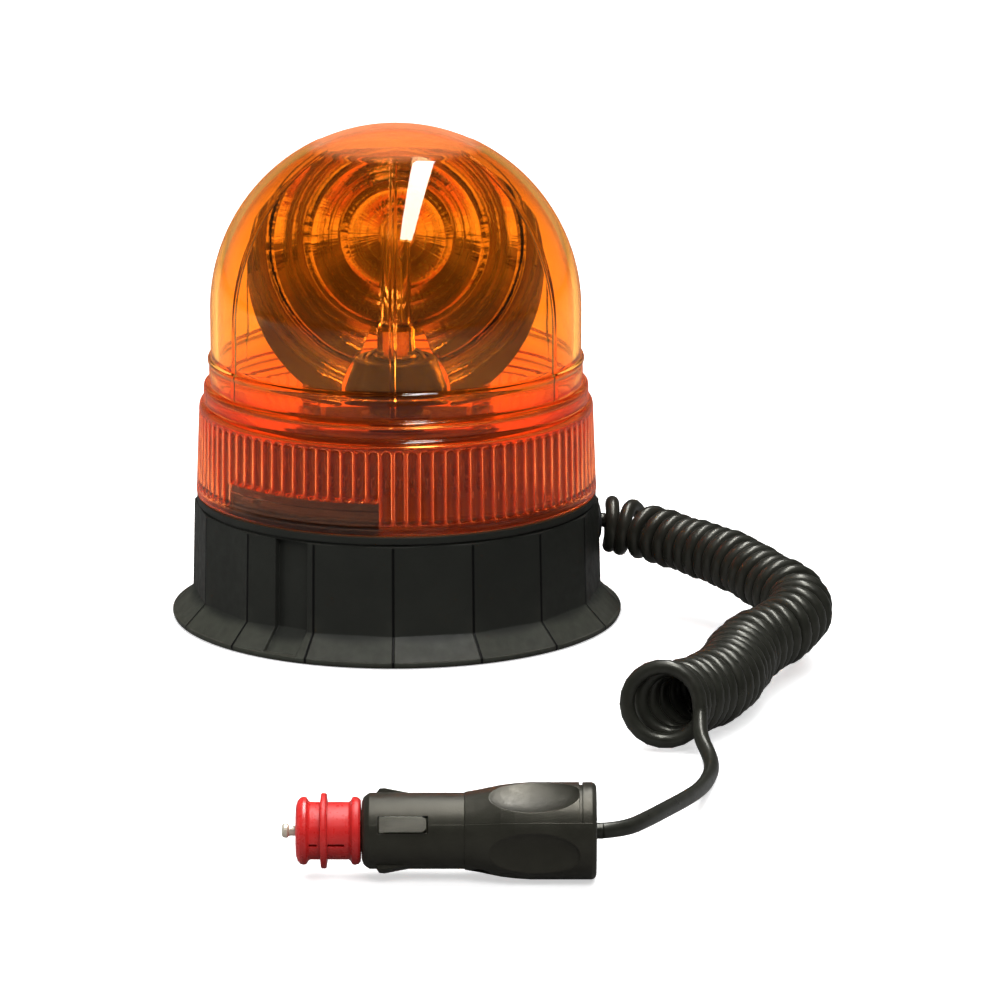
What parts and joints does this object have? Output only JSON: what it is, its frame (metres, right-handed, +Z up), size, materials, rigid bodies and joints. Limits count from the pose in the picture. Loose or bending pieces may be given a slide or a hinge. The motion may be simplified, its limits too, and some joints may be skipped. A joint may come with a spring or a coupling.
{
  "type": "rotating beacon",
  "caption": "Amber dome warning beacon with a motor-driven turning dish round an upright bulb, black magnetic foot, curly supply cord and 12 V socket plug.",
  "frame": {"origin": "centre of the foot's underside, on the floor", "axes": "+Z up along the lens axis, -Y towards the dish's open side and the viewer, +X towards the cord's exit side"},
  "size_m": [0.2179, 0.3874, 0.165],
  "materials": {
    "amber_lens": "transparent amber plastic, polished",
    "rubber_black": "matte",
    "housing_black": "moulded, fine satin grain",
    "steel_plate": "zinc plated",
    "screw_steel": "zinc plated",
    "ferrite": "sintered, dull",
    "chassis_grey": "moulded",
    "holder_black": "moulded",
    "nickel": "nickel plated",
    "bulb_glass": "clear glass",
    "filament": "tungsten wire",
    "brass": "turned",
    "turntable_black": "moulded",
    "bronze": "sintered bronze",
    "gear_dark": "dark acetal",
    "reflector_chrome": "vacuum metallised",
    "motor_zinc": "zinc plated can",
    "board_green": "solder mask",
    "copper_wire": "enamelled winding",
    "capacitor_blue": "sleeved",
    "cord_black": "satin",
    "lead_red": "insulated wire",
    "plug_black": "moulded, satin",
    "fuse_glass": "glass tube with plated caps",
    "contact_steel": "plain spring steel",
    "adapter_red": "moulded, satin"
  },
  "bodies": {
    "base": {"base_housing": "housing_black", "base_plate": "steel_plate", "base_screws": "screw_steel", "board_screws": "screw_steel", "board_spacers": "brass", "bulb_base": "nickel", "bulb_clip": "screw_steel", "bulb_filament": "filament", "bulb_glass": "bulb_glass", "bulb_holder": "holder_black", "bulb_lead": "lead_red", "cable_clamp": "holder_black", "cable_grommet": "rubber_black", "capacitor": "capacitor_blue", "centre_post": "chassis_grey", "chassis_plate": "chassis_grey", "chassis_screws": "screw_steel", "choke": "copper_wire", "circuit_board": "board_green", "clamp_screws": "screw_steel", "coiled_cord": "cord_black", "contact_spring": "screw_steel", "cord_exit_lead": "cord_black", "cord_tail": "cord_black", "foot_pad": "rubber_black", "fuse_contact": "brass", "holder_contact": "brass", "lens_seal": "rubber_black", "motor_can": "motor_zinc", "motor_endcap": "holder_black", "motor_leads": "lead_red", "motor_screws": "screw_steel", "nose_cap": "plug_black", "nose_sleeve": "plug_black", "plug_cord_clip": "plug_black", "plug_cord_end": "cord_black", "plug_fuse": "fuse_glass", "plug_screw": "screw_steel", "plug_shell_lower": "plug_black", "plug_shell_upper": "plug_black", "plug_wires": "lead_red", "post_screws": "screw_steel", "retaining_clip": "screw_steel", "ring_magnet": "ferrite", "supply_cable_inner": "cord_black", "terminal_block": "gear_dark", "thrust_washer": "screw_steel"},
    "lens": {"lens_dome": "amber_lens"},
    "rotor": {"turntable": "turntable_black", "rotor_bush": "bronze", "ring_gear": "gear_dark", "gear_rivets": "brass", "reflector": "reflector_chrome", "reflector_screws": "screw_steel"},
    "pinion": {"drive_pinion": "gear_dark", "motor_shaft": "screw_steel"},
    "tip": {"tip_contact": "nickel"},
    "side_front": {"side_contact_front": "contact_steel"},
    "side_rear": {"side_contact_rear": "contact_steel"},
    "adapter": {"plug_adapter": "adapter_red"}
  },
  "joints": [
    {"name": "lens_lift", "type": "slide", "parent": "base", "child": "lens", "axis": [0, 0, 1], "range_m": [0, 0.14]},
    {"name": "rotor_spin", "type": "hinge", "parent": "base", "child": "rotor", "pos_m": [0, 0, 0.06], "axis": [0, 0, 1], "continuous": true},
    {"name": "pinion_spin", "type": "hinge", "parent": "base", "child": "pinion", "pos_m": [-0.03118, 0.018, 0.06], "axis": [0, 0, 1], "continuous": true},
    {"name": "tip_press", "type": "slide", "parent": "base", "child": "tip", "axis": [1, 0, 0], "range_m": [0, 0.0025], "stiffness_N_per_m": 1500, "springref_m": -0.002, "deforming": ["contact_spring"]},
    {"name": "contact_front_press", "type": "slide", "parent": "base", "child": "side_front", "axis": [0, 0.8988, -0.4384], "range_m": [0, 0.0012], "stiffness_N_per_m": 2500, "springref_m": -0.001},
    {"name": "contact_rear_press", "type": "slide", "parent": "base", "child": "side_rear", "axis": [0, -0.8988, 0.4384], "range_m": [0, 0.0012], "stiffness_N_per_m": 2500, "springref_m": -0.001},
    {"name": "adapter_pull", "type": "slide", "parent": "base", "child": "adapter", "axis": [-1, 0, 0], "range_m": [0, 0.022]}
  ],
  "couplings": [
    {"joint": "pinion_spin", "follows": "rotor_spin", "ratio": -5}
  ]
}
